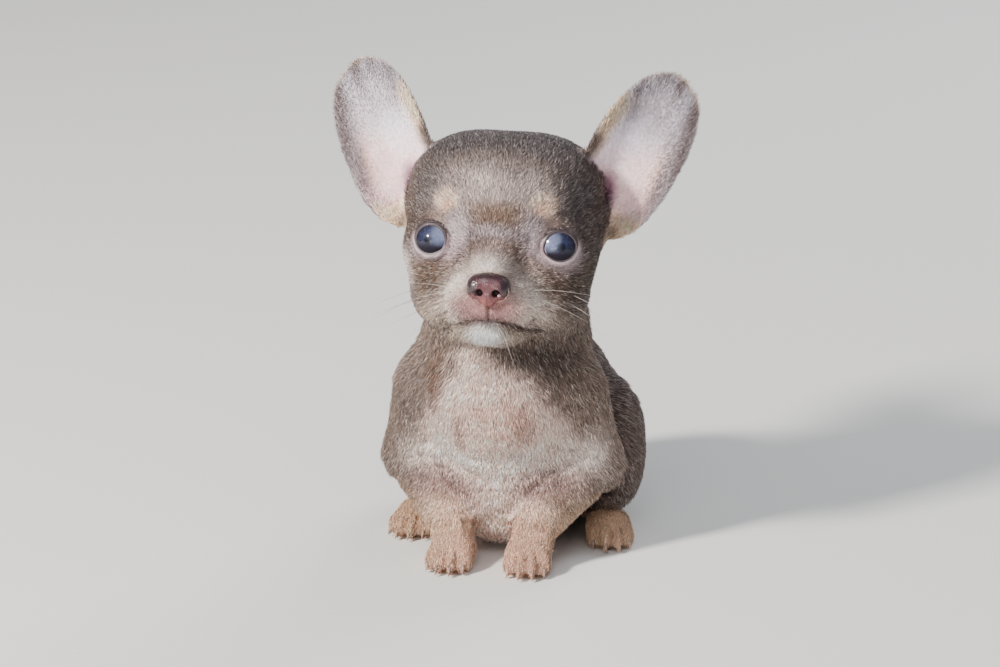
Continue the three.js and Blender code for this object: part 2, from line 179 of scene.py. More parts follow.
def treeOf(points):
    tree = kdtree.KDTree(len(points))
    for k, point in enumerate(points):
        tree.insert(point, k)
    tree.balance()
    return tree


def relaxed(values, edges, rounds, share=0.5):  # each point's value drifts towards its neighbours'
    values = values.copy()
    a, b = edges.T
    n = len(values)
    count = np.maximum(np.bincount(a, minlength=n) + np.bincount(b, minlength=n), 1)
    columns = values.reshape(n, -1)
    for _ in range(rounds):
        for k in range(columns.shape[1]):
            v = columns[:, k]
            mean = (np.bincount(a, v[b], n) + np.bincount(b, v[a], n)) / count
            columns[:, k] = v + share * (mean - v)
    return columns.reshape(values.shape)


def meshPiece(name, points, *faceSets):  # a face set is an array, one row a face
    corners = np.concatenate([faces.ravel() for faces in faceSets])
    counts = np.concatenate([np.full(len(faces), faces.shape[1]) for faces in faceSets])
    mesh = bpy.data.meshes.new(name)
    mesh.vertices.add(len(points))
    stored(mesh.vertices, "co", points * mm)
    mesh.loops.add(len(corners))
    stored(mesh.loops, "vertex_index", corners, np.int32)
    mesh.polygons.add(len(counts))
    stored(mesh.polygons, "loop_start", np.cumsum(counts) - counts, np.int32)
    mesh.update(calc_edges=True)
    mesh.validate()
    mesh.shade_smooth()
    return linked(bpy.data.objects.new(name, mesh))


def ringFaces(rings, around):  # quads between closed rings of points, wound to face outwards
    j, i = np.meshgrid(np.arange(rings - 1), np.arange(around), indexing="ij")
    k = (i + 1) % around
    quad = np.stack([j * around + i, j * around + k, (j + 1) * around + k, (j + 1) * around + i], -1)
    return quad.reshape(-1, 4)


def colourPoints(piece, colours):
    layer = piece.data.color_attributes.new("tint", "FLOAT_COLOR", "POINT")
    stored(layer.data, "color", np.concatenate([colours, np.ones((len(colours), 1))], 1))


def vectorPoints(piece, name, vectors):
    stored(piece.data.attributes.new(name, "FLOAT_VECTOR", "POINT").data, "vector", vectors)


def placed(piece, slot=None, nodes=()):
    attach(piece, "root")
    if nodes:
        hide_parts(*nodes)
    return piece


# Camera: the photograph's view

view = {"azimuth": 10, "elevation": 17, "distance": 1250, "lens": 150, "down": 32.5, "aside": 1.5}


def makeCamera():
    a, e = math.radians(view["azimuth"]), math.radians(view["elevation"])
    back = np.array([math.sin(a) * math.cos(e), -math.cos(a) * math.cos(e), math.sin(e)])
    right = np.array([math.cos(a), math.sin(a), 0])
    up = np.cross(back, right)
    aim = head.centre - up * view["down"] - right * view["aside"]
    camera = linked(bpy.data.objects.new("camera", bpy.data.cameras.new("camera")))
    camera.data.lens = view["lens"]
    camera.data.clip_end = 20
    turn = Matrix(np.stack([right, up, back], 1).tolist()).to_4x4()
    camera.matrix_world = Matrix.Translation(Vector((aim + back * view["distance"]) * mm)) @ turn
    bpy.context.scene.camera = camera


makeCamera()
print("camera stands")


# Shader maths: a socket that can be added, multiplied and mixed

class Shade:
    tree = None

    def __init__(self, socket):
        self.socket = socket

    @staticmethod
    def node(kind, settings=None, **values):
        made = Shade.tree.nodes.new(kind)
        for key, value in (settings or {}).items():
            setattr(made, key, value)
        for key, value in values.items():
            number = key[1:] if key[0] == "n" and key[1:].isdigit() else None
            socket = made.inputs[int(number)] if number else made.inputs[key.replace("_", " ")]
            if isinstance(value, Shade):
                Shade.tree.links.new(value.socket, socket)
            else:
                socket.default_value = value
        return made

    @staticmethod
    def math(operation, *values):
        numbered = {"n%d" % i: v for i, v in enumerate(values)}
        return Shade(Shade.node("ShaderNodeMath", {"operation": operation}, **numbered).outputs[0])

    def __add__(self, other):
        return Shade.math("ADD", self, other)

    def __sub__(self, other):
        return Shade.math("SUBTRACT", self, other)

    def __rsub__(self, other):
        return Shade.math("SUBTRACT", other, self)

    def __mul__(self, other):
        return Shade.math("MULTIPLY", self, other)

    def __truediv__(self, other):
        return Shade.math("DIVIDE", self, other)

    def __pow__(self, other):
        return Shade.math("POWER", self, other)

    __radd__, __rmul__ = __add__, __mul__

    def between(self, low, high, start=0.0, end=1.0):
        settings = {"interpolation_type": "SMOOTHSTEP"}
        made = Shade.node("ShaderNodeMapRange", settings, Value=self, n1=low, n2=high, n3=start, n4=end)
        return Shade(made.outputs[0])


def mixed(share, one, other, way="MIX"):
    made = Shade.node("ShaderNodeMix", {"data_type": "RGBA", "blend_type": way}, n0=share, n6=one, n7=other)
    return Shade(made.outputs[2])


def plainTone(red, green, blue):  # a constant colour for one side of a mix
    return (*[float(c) for c in tone(red, green, blue)], 1.0)


def glazed(colour, *glazes):  # each glaze is a mask and its screen colour
    for mask, glaze in glazes:
        colour = mixed(mask, colour, plainTone(*glaze))
    return colour


def attribute(name, output="Color"):
    return Shade(Shade.node("ShaderNodeAttribute", {"attribute_name": name}).outputs[output])


def grain(scale, detail=2.0, where=None):
    where = where or Shade(Shade.node("ShaderNodeTexCoord").outputs["Object"])
    return Shade(Shade.node("ShaderNodeTexNoise", Vector=where, Scale=scale, Detail=detail).outputs[0])


def material(name, build, **constants):
    made = bpy.data.materials.new(name)
    made.use_nodes = True
    Shade.tree = made.node_tree
    surface = made.node_tree.nodes["Principled BSDF"]
    for key, value in constants.items():
        surface.inputs[key.replace("_", " ")].default_value = value
    for key, value in build().items():
        Shade.tree.links.new(value.socket, surface.inputs[key.replace("_", " ")])
    return made


def bumped(height, strength, distance):
    made = Shade.node("ShaderNodeBump", Strength=strength, Distance=distance, Height=height)
    return Shade(made.outputs[0])


# Skin: the flesh nodes joined in one surface, sunk by the depth of the coat

flesh = [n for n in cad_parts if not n.startswith(("eye_", "nose"))]
skinMake = {"fill": 0.26, "voxel": 0.62, "socketFill": 7.7, "rounds": 22, "most": 186000, "apart": 0.02}
armpits = [((17, -27.5, 33), 4.5), ((-20, -28.5, 33), 4.5)]


def joinedFlesh():
    twins = []
    for name in flesh + ["nose"]:
        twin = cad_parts[name].copy()
        twin.data = twin.data.copy()
        twin.parent = None
        for key in list(twin.keys()):
            del twin[key]
        twins.append(linked(twin))
    sockets = [(place.centre, skinMake["socketFill"]) for place in eyes.values()]
    for centre, radius in sockets + armpits:
        deselect()
        place = np.array(centre) * mm
        bpy.ops.mesh.primitive_uv_sphere_add(segments=32, ring_count=20, radius=radius * mm, location=place)
        twins.append(bpy.context.object)
    body = activate(*twins)
    bpy.ops.object.transform_apply(location=True, rotation=False, scale=False)
    bpy.ops.object.join()
    body.name = body.data.name = "skin"
    body.data.materials.clear()
    return body


def makeSkin():
    body = joinedFlesh()
    editAll(body, lambda: bpy.ops.mesh.remove_doubles(threshold=skinMake["apart"] * mm))
    modify(body, "DISPLACE", strength=skinMake["fill"] * mm, mid_level=0.0)
    modify(body, "REMESH", mode="VOXEL", voxel_size=skinMake["voxel"] * mm)
    points, edges = pointsOf(body), edgesOf(body)
    for _ in range(skinMake["rounds"]):
        points = relaxed(points, edges, 1, 0.5)
        points = relaxed(points, edges, 1, -0.52)
    movePoints(body, points)
    refine(body, head.local(points))
    body.data.shade_smooth()
    print("skin remeshed:", len(body.data.vertices), "points")
    return body


def refine(body, inHead):  # halves the faces of the muzzle, where the finest folds are
    x, y, z = inHead.T
    fine = (abs(x) < 16) & (y < -13) & (z > -37) & (z < -8)
    activate(body)
    bpy.ops.object.mode_set(mode="EDIT")
    bpy.ops.mesh.select_mode(type="VERT")
    bpy.ops.mesh.select_all(action="DESELECT")
    bpy.ops.object.mode_set(mode="OBJECT")
    body.data.vertices.foreach_set("select", fine)
    bpy.ops.object.mode_set(mode="EDIT")
    bpy.ops.mesh.subdivide(number_cuts=1, smoothness=0.8)
    bpy.ops.object.mode_set(mode="OBJECT")


skin = makeSkin()


# Which node each skin point came from, softened across the joins

class Regions:
    def __init__(self, body):
        self.points, self.edges, self.normals = pointsOf(body), edgesOf(body), normalsOf(body)
        self.inHead = head.local(self.points)
        owned = [(n, v.co / mm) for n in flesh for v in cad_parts[n].data.vertices]
        tree = treeOf([place for _, place in owned])
        self.node = np.array([owned[tree.find(p)[1]][0] for p in self.points])

    def share(self, *starts, rounds=12):  # how much each point belongs to nodes with these names
        hard = np.array([n.startswith(starts) for n in self.node], float)
        return relaxed(hard, self.edges, rounds)


def earPlace(s):  # across, facing and up the ear's leaf
    spread = math.radians(28)
    up = unit(np.array([s * math.sin(spread), 0.1, math.cos(spread)]))
    facing = np.array([s * 0.3, -1, 0])
    facing = unit(facing - facing.dot(up) * up)
    return head.inside((s * 36.5, 6, 23.5), np.stack([np.cross(facing, up), facing, up], 1))


earSize = {"halfLength": 27.9, "halfWidth": 16}
canal = {"middle": (29.9, 2.6, 12.6), "reach": (2.9, 5, 5.2)}  # the left ear's opening, in the head's frame
ears = {label: earPlace(s) for label, s in sides.items()}


def earSpots(label, points, normals):  # across from -1 to 1, nearest the crown, up, and 1 on the cupped face
    place = ears[label]
    a, _, v = place.local(points).T
    up = v / earSize["halfLength"]
    side = sides[label] * a
    broad = earSize["halfWidth"] * (1 - 0.15 * up + 0.1 * up * up) * np.where(side < 0, 1 + 0.24 * up * up, 1)
    return side / broad, up, ease(-0.15, 0.35, normals @ place.turn[:, 1])


def inCanal(label, points, soft):
    return spot(points, np.array(canal["middle"]) * (sides[label], 1, 1), canal["reach"], soft)


# The folds and hollows carved in the skin

carve = {
    "body": 1.5, "head": 1.1, "muzzle": 0.75, "ear": 0.72, "paw": 0.7, "leg": 1.1, "tail": 1.1,
    "nose": 1.9, "mouth": 1.3, "philtrum": 0.9, "toes": 0.62, "socket": 6.7, "floor": 0.15,
}


def mouthLine(x):  # height of the mouth's line in the head's frame
    return -29.6 - 1.5 * (x / 14) ** 2


def alongMouth(inHead, wide):
    x, y, z = inHead.T
    return ease(-9, -13, y) * ease(15.5, 13, abs(x)) * np.exp(-(((z - mouthLine(x)) / wide) ** 2))


def eyeAngles(label, points):  # degrees from the gaze, distance from the centre, turn from the nose side up
    q = eyes[label].local(points)
    far = np.linalg.norm(q, axis=1)
    angle = np.degrees(np.arccos(np.clip(-q[:, 1] / far, -1, 1)))
    return angle, far, np.arctan2(q[:, 2], -sides[label] * q[:, 0])


paws = [
    Place(shift + (x, y, 0), turned("Z", turn))
    for x, y, turn in [(9.8, -20, 5), (-13.8, -20, -5), (30.5, 9, 14), (-30.5, 9, -14)]
]
toes = [(-5.2, 2.6), (-1.9, 5.4), (1.9, 5.4), (5.2, 2.6)]  # across, and ahead of the paw's middle


def toeGrooves(points):
    groove = np.zeros(len(points))
    for paw in paws:
        q = paw.local(points)
        for across, back in ((-3.75, -4.2), (0, -5.4), (3.75, -4.2)):
            line = toSegment(q * (1, 1, 0.0), (across * 1.12, -11, 0), (across * 0.8, back, 0))
            groove = np.maximum(groove, np.exp(-((line / 0.55) ** 2)) * ease(9.5, 7.5, q[:, 2]))
    return groove


creases = [  # both ends in millimetres, how deep and how wide
    ((-12.5, -44, 51), (-9, -42, 37), 0.9, 0.8),
    ((7.5, -44.5, 50), (9, -42, 40), 0.7, 2.0),
    ((-9, -43, 63), (7, -43, 60), 0.5, 1.4),
    ((-24, -33, 33), (-7, -36, 28), 0.8, 1.5),
    ((25, -30, 33), (9, -36, 28), 0.7, 1.6),
]


def smooth(near, rounds):
    points = pointsOf(skin)
    movePoints(skin, towards(points, relaxed(points, edgesOf(skin), rounds), near(points)))


def aroundMouth(points):
    x, y, z = head.local(points).T
    return ease(-8, -12, y) * ease(17, 13, abs(x)) * ease(3.2, 1.4, abs(z - mouthLine(x) + 0.6))


def aroundNape(points):  # the grooves where head, neck and trunk were parted, from the sides round the back
    near = np.zeros(len(points))
    for through, way in (((0, -41.9, 62), (0, -0.385, 0.923)), ((0, -31.9, 77.5), (0, -0.36, 0.933))):
        near = np.maximum(near, ease(4.5, 2.5, abs((points - through) @ np.array(way))))
    return near * ease(-26, -16, points[:, 1])


smooth(aroundMouth, 40)
smooth(aroundNape, 170)


def carveSkin():
    where = Regions(skin)
    p, n, h = where.points, where.normals, where.inHead
    x, y, z = h.T
    depth = np.full(len(p), carve["body"])
    for key, mask in {
        "head": where.share("head", "jaw"),
        "leg": where.share("foreleg_lower"),
        "paw": where.share("forepaw", "hindpaw", rounds=6),
        "tail": where.share("tail", rounds=6),
        "ear": where.share("ear", rounds=3),
        "muzzle": spot(h, (0, -26, -22), (17, 14, 13)),
    }.items():
        depth += mask * (carve[key] - depth)
    depth += carve["nose"] * spot(h, (0, -33, -20), (6.2, 5, 5.2), 0.3)
    front = ease(-8, -14, y) * ease(17, 13, abs(x))
    depth += carve["mouth"] * front * np.exp(-(((z - mouthLine(x)) / 0.65) ** 2))
    groove = ease(-22, -24, y) * ease(-22, -23.5, z) * ease(-30, -28.5, z)
    depth += carve["philtrum"] * groove * np.exp(-((x / 0.55) ** 2))
    for start, end, deep, wide in creases:
        depth += deep * np.exp(-((toSegment(p, start, end) / wide) ** 2))
    depth += carve["toes"] * toeGrooves(p)
    moved = p - n * depth[:, None]
    for label in sides:
        angle, far, _ = eyeAngles(label, p)
        near = (far < 11) & (angle < 75)
        sunk = carve["socket"] + (far - depth - carve["socket"]) * ease(45, 56, angle)
        away = unit(p - eyes[label].centre)
        moved[near] = (eyes[label].centre + away * sunk[:, None])[near]
    moved[:, 2] = np.maximum(moved[:, 2], carve["floor"])
    movePoints(skin, moved)
    modify(skin, "TRIANGULATE")
    modify(skin, "DECIMATE", ratio=skinMake["most"] / len(skin.data.polygons))
    skin.data.shade_smooth()
    print("skin carved:", len(skin.data.polygons), "triangles")


carveSkin()
body = Regions(skin)


# Markings: one colour for each skin point, which the coat shares

hide = {name: tone(*screen) for name, screen in {
    "taupe": (109, 95, 90), "back": (100, 88, 85), "crown": (84, 75, 75), "sheen": (212, 198, 194),
    "brow": (252, 227, 211), "browTip": (208, 164, 138), "stop": (122, 102, 90), "pale": (212, 202, 207),
    "bridge": (160, 140, 136), "cream": (252, 237, 230), "cheek": (104, 87, 77), "tear": (122, 102, 94),
    "lip": (178, 142, 140), "white": (255, 255, 255), "jaw": (180, 166, 154), "shade": (76, 64, 58),
    "shoulder": (138, 123, 115), "chest": (255, 233, 225), "pink": (230, 188, 174), "paleBandAndHighlight": (255, 241, 235),
    "streak": (120, 92, 80), "underChestShadow": (134, 108, 104), "tan": (206, 180, 158), "mouth": (66, 48, 42),
    "earInside": (246, 243, 254), "earPink": (255, 218, 215), "earWarm": (222, 196, 188),
    "earCream": (250, 226, 202), "earBand": (112, 98, 98), "earTip": (176, 167, 172),
    "earBack": (120, 106, 104), "canal": (116, 84, 98), "brown": (84, 66, 56), "lilac": (196, 181, 185),
}.items()}
strength = 1.42  # how much stronger than measured the colours are, as the view pales them


def markings(where):
    p, h, n = where.points, where.inHead, where.normals
    x, y, z = h.T
    wx, wy, wz = p.T
    colour = np.repeat(hide["taupe"][None], len(p), 0)
    rough = ripple(p, 8, 3) + 0.6 * ripple(p, 2.6, 4)

    def paint(name, mask):
        nonlocal colour
        colour = towards(colour, hide[name], np.clip(mask, 0, 1))

    def dab(points, *rows):  # colour, centre, reach, softness and strength
        for name, centre, reach, soft, much in rows:
            paint(name, spot(points, centre, reach, soft) * much)

    # body
    paint("back", ease(-8, 16, wy) * (1 - where.share("head", "jaw", "ear")))
    front = ease(-8, -24, wy)
    paint("shoulder", front * ease(84, 70, wz) * 0.85)
    chestWide = 8 + 0.42 * np.clip(70 - wz, 0, 30) + 2.6 * rough
    paint("chest", ease(chestWide + 6, chestWide - 4, abs(wx + 2)) * front * ease(76, 66, wz))
    dab(p, ("pink", (1, -44, 46), (11, 9, 13), 0.9, front * (0.45 + 0.3 * rough)))
    # a pale band across the lower chest and elbows: pale hair, with a painted highlight where the chest's
    # bulge takes the light
    paleBandAndHighlight = np.exp(-(((wz - 34.5 - 1.6 * rough + 0.02 * abs(wx)) / 6.4) ** 2))
    paint("paleBandAndHighlight", 0.85 * paleBandAndHighlight * front * ease(35, 27, abs(wx)) * (0.85 + 0.2 * rough))
    # the streaks are painted shade in the folds of the neck and chest
    dab(p,
        ("streak", (-18.5, -40, 61), (3.2, 6, 8), 0.7, 0.65),
        ("streak", (9.5, -43.5, 46), (3, 6, 7), 0.9, 0.5),
        ("streak", (-10.6, -44, 44), (1.5, 6, 8), 0.9, 0.6),
        ("shade", (12, -34, 67), (14, 12, 7.5), 0.7, 0.8))
    # painted shadow under the chest's bulge, over the elbows and the tops of the forelegs
    shadowAtElbows = spot(p, (-18, -34, 24), (11, 9, 5.5), 0.7) + spot(p, (14, -33, 25), (10, 9, 5), 0.7)
    paint("underChestShadow", shadowAtElbows * 0.75)
    lower = where.share("foreleg_lower", "forepaw", "hindpaw", rounds=8)
    paint("tan", lower * ease(26, 12, wz) * 0.9)
    paint("pink", lower * ease(15, 3, wz) * 0.15)
    paint("pink", ease(26, 12, wz) * ease(22, 12, abs(wx)) * ease(-12, -26, wy) * 0.35)
    # painted shade in the grooves between the toes
    paint("streak", toeGrooves(p) * 0.35)
    # head
    onHead = where.share("head", "jaw", rounds=6)
    paint("taupe", onHead)
    paint("crown", onHead * ease(13, 21, z + 0.2 * y + 2.2 * ripple(p, 9, 7)))
    paint("back", onHead * ease(0, 24, y) * 0.7)
    dab(h,
        ("shade", (26, -10, 2), (8, 12, 20), 0.5, onHead * 0.65),
        ("brown", (-26, -10, 1), (6.5, 13, 13), 0.7, onHead * 0.95),
        ("sheen", (-0.6, -25, 8.4), (17.5, 12, 8.2), 0.7, onHead * (0.76 + 0.2 * rough)),
        ("crown", (-22, -19, 9), (5, 10, 9), 0.8, onHead * 0.75),
        # on the dog's left side of the forehead the crown's colour is painted shade
        ("crown", (21.5, -18, 8), (5.5, 10, 10), 0.8, onHead * 0.95),
        ("stop", (-0.3, -27, 1.2), (11, 7, 3.6), 0.7, onHead * 0.9),
        ("pale", (0, -27, -4.0), (6.5, 7, 2.2), 0.8, onHead * 0.55),
        ("tear", (0, -27, -7.6), (6.5, 7, 2.6), 0.8, onHead * 0.5))
    for s in (1, -1):
        dab(h,
            # painted shadow of the brow ridge over each eye, in the cheek's colour
            ("cheek", (s * 14.8 - 0.3, -24, 1.0), (5.2, 6, 2.0), 0.8, 0.75),
            ("brow", (s * 13.9 - 0.3, -25, 5.2), (3.3, 6, 3.0), 0.5, 1),
            ("browTip", (s * 13.2 - 0.3, -25, 3.7), (1.9, 5, 1.3), 0.9, 0.6),
            ("pale", (s * 10.4, -25, -2.2), (3.4, 6, 4.8), 0.9, 0.85 if s < 0 else 0.6),
            ("cheek", (s * 18.5, -18, -17.5), (9, 11, 8.5), 0.7, 0.85 + 0.2 * rough),
            ("tear", (s * 11.8, -24, -11.5), (3.6, 6, 4.6), 0.7, 0.8),
            ("jaw", (s * 16, -14, -26.5), (9, 10, 4.5), 0.8, 0.75 + 0.4 * rough))
    dab(h,
        ("shade", (23, -10, -19), (6.5, 11, 12), 0.9, 0.7),
        # painted highlight along the outline of the dog's right cheek, in the cream colour
        ("cream", (-26, -12, -15), (3, 6, 6), 0.7, 0.6),
        ("bridge", (0, -28, -8.8), (3.8, 6, 3.6), 0.7, 0.9),
        ("cream", (0, -31, -12.6), (8.2, 7, 3.4), 0.7, 0.9 + 0.1 * rough))
    for s in (1, -1):
        dab(h,
            ("cream", (s * 10.2, -26, -19.5), (5.2, 8, 6.4), 0.7, 0.95 + 0.1 * rough),
            ("cream", (s * 11.5, -23, -25), (6.8, 9, 4.6), 0.7, 0.8 + 0.15 * rough))
    dab(h,
        ("lip", (-5.0, -30, -24.8), (6.6, 7, 3.9), 0.8, 0.9),
        ("lip", (4.4, -30, -24.6), (5.4, 7, 3.7), 0.8, 0.9))
    chin = onHead * ease(2, -10, y)
    paint("jaw", chin * ease(mouthLine(x) + 0.2, mouthLine(x) - 1, z))
    paint("shade", chin * ease(-33, -35.5, z) * ease(6, 13, abs(x)) * 0.35)
    dab(h,
        ("white", (-1.2, -26, -33), (4.6, 8, 3.0), 0.8, 0.95 + 0.25 * rough),
        ("shade", (15, -16, -35), (9, 12, 4.5), 0.7, 0.85))
    # the mouth's line: the dark lip edge, with painted shade in its crease, stronger towards the corners
    corner = 0.3 + 0.7 * ease(2, 6.5, abs(x))
    paint("mouth", alongMouth(h, 0.9) * corner * (0.85 + 0.3 * rough))
    for label in sides:
        angle, far, turn = eyeAngles(label, p)
        under = 0.85 * ease(0.45, -0.5, np.sin(turn)) + 0.45 * np.exp(-((turn / 0.8) ** 2))
        paint("lilac", (far < 13) * ease(80, 58, angle) * under * (0.75 + 0.25 * rough))
    dab(h,
        ("cheek", (-18.8, -19, -15), (6.2, 8, 4.8), 0.8, 0.95),
        ("cheek", (16.5, -21, -15.5), (4.6, 8, 3.6), 0.8, 0.55),
        ("shade", (11, -12, -38), (16, 12, 4.5), 0.7, 0.85))
    # painted shade in the groove under the nose
    crease = ease(-22, -24, y) * ease(-23, -24, z) * ease(-29.4, -28.6, z) * np.exp(-((x / 0.45) ** 2))
    paint("mouth", crease * 0.75)
    # ears
    for label in sides:
        on = where.share("ear_" + label, rounds=3)
        across, up, cupped = earSpots(label, p, n)
        leaf, edge, cup = np.stack([across, up], 1), np.hypot(across, up), on * cupped
        comb = ripple(np.stack([across * 9 - up * 4, up * 2.2, 0 * up], 1), 1, 12)
        paint("earBack", on)
        paint("earInside", cup)
        dab(leaf,
            ("earWarm", (-0.42, -0.15), (0.3, 0.6), 0.9, cup * (0.7 + 0.3 * comb)),
            ("earPink", (0.05, -0.55), (0.7, 0.5), 0.9, cup * 0.85))
        paint("earTip", cup * ease(-0.1, 0.55, up) * (0.85 + 0.3 * comb))
        dab(leaf, ("earBand", (-0.82, 0.0), (0.22, 0.85), 0.7, cup * (0.9 + 0.45 * comb)))
        paint("earBand", cup * ease(0.74, 0.95, edge) * ease(0.3, 0.6, up) * (0.4 + 0.5 * comb))
        paint("earBand", cup * ease(0.2, 0.7, up) * ease(0.1, 0.8, comb) * 0.55)
        inner = ease(0.45, 0.7, across) * ease(0.6, 0.3, up) * ease(-0.4, -0.1, up)
        paint("earCream", cup * inner * (0.9 + 0.3 * comb))
        paint("earCream", cup * ease(-0.55, -0.72, up) * 0.85)
        paint("brown", cup * ease(-0.66, -0.86, up - 0.2 * across) * (0.6 + 0.5 * comb))
        paint("earCream", on * ease(0.91, 0.99, edge) * 0.6)
        # the ear's opening: darker skin, with painted shade in its hollow
        paint("canal", inCanal(label, h, 0.6) * 0.9 * ease(0.2, -0.2, n[:, 1]))
        paint("earBack", on * ease(0.8, 0.92, across) * ease(0.6, 0.3, up))
        paint("taupe", on * ease(0.5, 0.75, across) * ease(0.04, -0.1, up) * ease(-0.5, -0.3, up))
    colour = colour * (1 + 0.06 * ripple(p, 5, 5) + 0.06 * ripple(p, 1.6, 6))[:, None]
    grey = colour.mean(1, keepdims=True)
    return np.clip(grey + strength * (colour - grey), 0, 1)


skinTint = markings(body)
colourPoints(skin, skinTint)
print("skin is marked")


# The lie of the coat: one direction for each skin point

tailRoute = [
    (1, 63, 13), (0, 72, 8.5), (-5, 80, 4.8), (-14, 84, 3.6), (-24, 83, 3), (-33, 78, 2.5), (-39, 71, 2.1),
]


def flowOf(where):
    p, h, n = where.points, where.inHead, where.normals
    wx, wy, wz = p.T
    side = np.clip(wx / 28, -1, 1)
    flow = unit(np.stack([0.45 * side, 0.15 + ease(-20, 40, wy) * 0.9, -1 + 0 * wx], 1))
    flow = flow + ease(20, 60, wy)[:, None] * n[:, 2:3].clip(0, 1) * np.array([0, 1.5, 0.4])
    flow = unit(flow)

    def turn(way, mask):
        nonlocal flow
        flow = towards(flow, unit(way), np.clip(mask, 0, 1))

    fromNose = h - np.array([0, -36, -17])
    fromNose[:, 2] += np.where(h[:, 2] < -16, -4, 3)
    fromNose[:, 1] += 6
    turn(fromNose @ head.turn.T, where.share("head", "jaw", rounds=8))
    for label, s in sides.items():
        across, up, cupped = earSpots(label, p, n)
        turnedOut = np.stack([s * np.clip(across, -1, 1) * 0.8 * cupped, 0 * up, np.ones(len(up))], 1)
        turn(turnedOut @ ears[label].turn.T, where.share("ear_" + label, rounds=3))
    turn(np.array([[0, -1, -0.35]]), where.share("forepaw", "hindpaw", rounds=5))
    route = np.array(tailRoute) + shift
    nearest = np.linalg.norm(p[:, None] - route[None, :-1], axis=2).argmin(1)
    turn((route[1:] - route[:-1])[nearest], where.share("tail", rounds=6))
    flow = laidFlat(flow, n)
    for _ in range(4):
        flow = laidFlat(unit(relaxed(flow, where.edges, 4)), n)
    return unit(flow)


coatFlow = flowOf(body)


# The coat: thin closed tufts, rooted in the skin and laid along it

coat = {"tufts": 238000, "sunk": 0.15, "floor": 0.05, "patch": 0.0015, "grey": tone(226, 216, 210)}


def coatPlan(where):  # length, width, lift in degrees and tufts a square millimetre, for each skin point
    h, n, p = where.inHead, where.normals, where.points
    plan = np.tile(np.array([3.6, 0.3, 22.0, 4.8]), (len(p), 1))

    def lay(values, mask):
        nonlocal plan
        plan = towards(plan, np.array(values), np.clip(mask, 0, 1))

    lay((3.8, 0.28, 26, 5.6), where.share("neck"))
    lay((3.2, 0.25, 24, 6.4), ease(-14, -26, p[:, 1]) * ease(84, 74, p[:, 2]))
    lay((2.4, 0.24, 22, 6.2), where.share("foreleg_lower", rounds=8))
    lay((1.8, 0.2, 22, 8), where.share("forepaw", "hindpaw", rounds=5))
    lay((3.4, 0.27, 26, 6), where.share("tail", rounds=6))
    lay((2.6, 0.24, 22, 7.5), where.share("head", "jaw", rounds=8))
    lay((2.1, 0.2, 24, 10), spot(h, (0, -24, -2), (26, 14, 22), 0.5))
    lay((1.5, 0.16, 26, 14), spot(h, (0, -30, -20), (13, 12, 11), 0.5))
    lay((1.0, 0.12, 28, 11), spot(h, (0, -31, -24.5), (8, 6, 4.4), 0.4))
    lay((2.3, 0.18, 24, 12), spot(h, (0, -24, -34), (12, 12, 5), 0.5))
    lay((2.1, 0.19, 27, 10), sum(spot(h, (s * 10.4, -25, -2.2), (4, 6, 5), 0.6) for s in (-1, 1)))
    for label in sides:
        on = where.share("ear_" + label, rounds=3)
        across, up, cupped = earSpots(label, p, n)
        cup = on * cupped
        lay((2.0, 0.24, 18, 6), on)
        lay((1.6, 0.18, 14, 5), cup)
        lay((0.9, 0.09, 12, 1.6), cup * spot(np.stack([across, up], 1), (0.05, -0.25), (0.55, 0.7), 0.6))
        lay((2.1, 0.18, 24, 9), on * ease(0.6, 0.9, np.hypot(across, up)))
        lay((3.6, 0.24, 20, 7), cup * ease(0.5, 0.8, across) * ease(0.6, 0.3, up) * ease(-0.05, 0.12, up))
        plan[:, 3] *= 1 - 0.75 * inCanal(label, h, 0.4)
        angle, far, _ = eyeAngles(label, p)
        lay((1.3, 0.15, 20, 11), ease(72, 60, angle) * (far < 12))
        plan[:, 3] *= 1 - ease(53, 50, angle) * (far < 11)
    plan[:, 3] *= 1 - spot(h, (0, -33, -20), (5.5, 6, 4.2), 0.2)
    plan[:, 3] *= 1 - 0.5 * alongMouth(h, 0.5)
    plan[:, 3] *= 1 - 0.5 * ease(-0.3, -0.8, n[:, 2]) * ease(30, 15, p[:, 2])
    return plan


def unwrap(piece):  # the corners of each triangle on the flattened skin
    editAll(piece, lambda: bpy.ops.uv.smart_project(angle_limit=math.radians(66), island_margin=0.002))
    piece.data.uv_layers[0].name = "OFBake"
    return fetched(piece.data.uv_layers[0].data, "uv", 2).reshape(-1, 3, 2)


def scatter(points, triangles, density, count):  # a face, and the place in it, for each tuft
    a, b, c = (points[triangles[:, k]] for k in range(3))
    weight = np.linalg.norm(np.cross(b - a, c - a), axis=1) / 2 * density[triangles].mean(1)
    total = np.cumsum(weight)
    marks = (np.arange(count) + random.random(count)) / count * total[-1]
    face = np.searchsorted(total, marks).clip(0, len(triangles) - 1)
    u, v = random.random((2, count))
    u, v = np.where(u + v > 1, 1 - u, u), np.where(u + v > 1, 1 - v, v)
    return face, np.stack([1 - u - v, u, v], 1)


tuft = {  # five points: root, three round the middle, tip
    "bend": 0.45, "droop": 0.35, "rootShadeToTip": np.array([0.5, 0.88, 0.88, 0.98, 1.16]),
    "faces": np.array([[0, 2, 1], [0, 3, 2], [0, 1, 3], [1, 2, 4], [2, 3, 4], [3, 1, 4]]),
    "corners": np.array([[-1, -1], [-1, 1], [1, -1], [0, 0.2], [1, 1]]),
}


